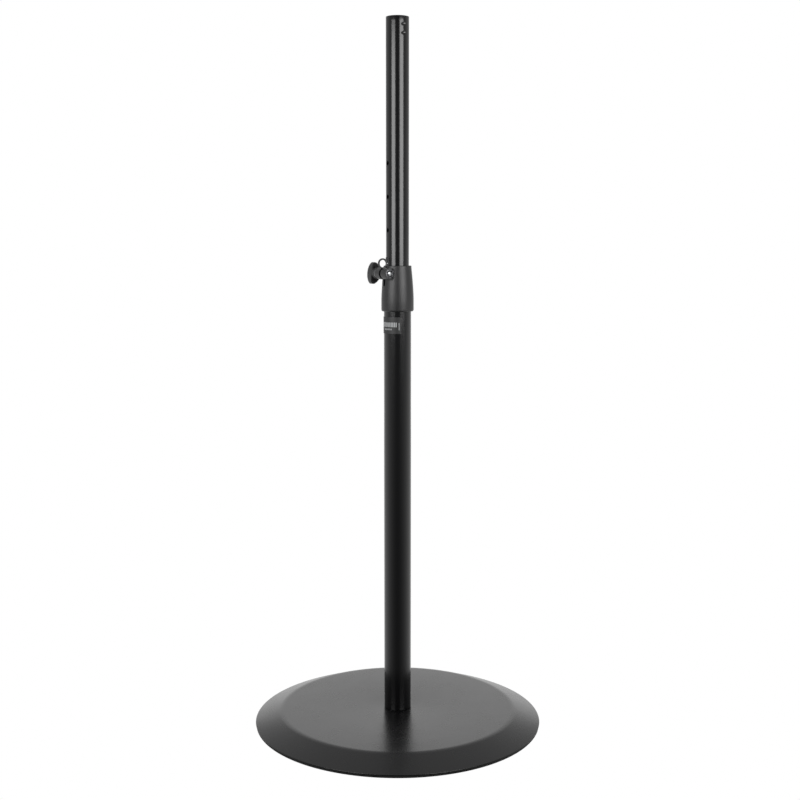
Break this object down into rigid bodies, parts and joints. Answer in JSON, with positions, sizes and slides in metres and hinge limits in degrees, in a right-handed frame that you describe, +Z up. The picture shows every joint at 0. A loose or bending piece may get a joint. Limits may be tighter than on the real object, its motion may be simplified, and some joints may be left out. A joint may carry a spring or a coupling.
{
  "type": "telescopic floor stand",
  "caption": "Height-adjustable floor stand: a round weighted base, two telescoping tubes, a clamp collar with a wing knob, and a locking pin with a finger ring.",
  "frame": {"origin": "centre of the underside, on the floor, on the axis of both tubes", "axes": "+Z up along the tubes; the front is -Y, and the pin, the slit and its clamp screw face front left"},
  "size_m": [0.45, 0.45, 1.089],
  "materials": {
    "base_coat": "black powder coat with a fine sanded texture",
    "tube_coat": "smooth satin black powder coat",
    "edge_rubber": "matte black rubber",
    "collar_plastic": "black glass-filled nylon, lightly grained",
    "knob_plastic": "black glass-filled nylon, lightly grained",
    "bush_plastic": "dark acetal",
    "label_film": "dark printed film with plain light marks",
    "zinc_steel": "bright zinc plate",
    "black_zinc": "black zinc plate"
  },
  "bodies": {
    "root": {"base_plate": "base_coat", "base_edge_ring": "edge_rubber", "base_bolt": "zinc_steel", "base_washer": "zinc_steel", "base_spring_washer": "zinc_steel", "foot_plug": "zinc_steel", "lower_tube": "tube_coat", "tube_label": "label_film", "clamp_collar": "collar_plastic", "guide_bush": "bush_plastic", "clamp_nut": "black_zinc"},
    "mast": {"upper_tube": "tube_coat", "top_insert": "zinc_steel", "glide_bush": "bush_plastic"},
    "pin": {"locking_pin": "zinc_steel", "pin_ring": "knob_plastic"},
    "screw": {"knob_washer": "zinc_steel"},
    "knob": {"clamp_knob": "knob_plastic", "clamp_stud": "zinc_steel"}
  },
  "joints": [
    {"name": "mast_height", "type": "slide", "parent": "root", "child": "mast", "axis": [0, 0, 1], "range_m": [0, 0.3]},
    {"name": "pin_pull", "type": "slide", "parent": "mast", "child": "pin", "axis": [-0.8572, -0.515, 0], "range_m": [0, 0.045]},
    {"name": "screw_travel", "type": "slide", "parent": "root", "child": "screw", "axis": [-0.515, 0.8572, 0], "range_m": [0, 0.00187]},
    {"name": "knob_turn", "type": "hinge", "parent": "screw", "child": "knob", "pos_m": [-0.01946, -0.01169, 0.709], "axis": [-0.515, 0.8572, 0], "range_deg": [0, 540]}
  ],
  "couplings": [
    {"joint": "knob_turn", "follows": "screw_travel", "rad_per_m": 5026.5}
  ]
}
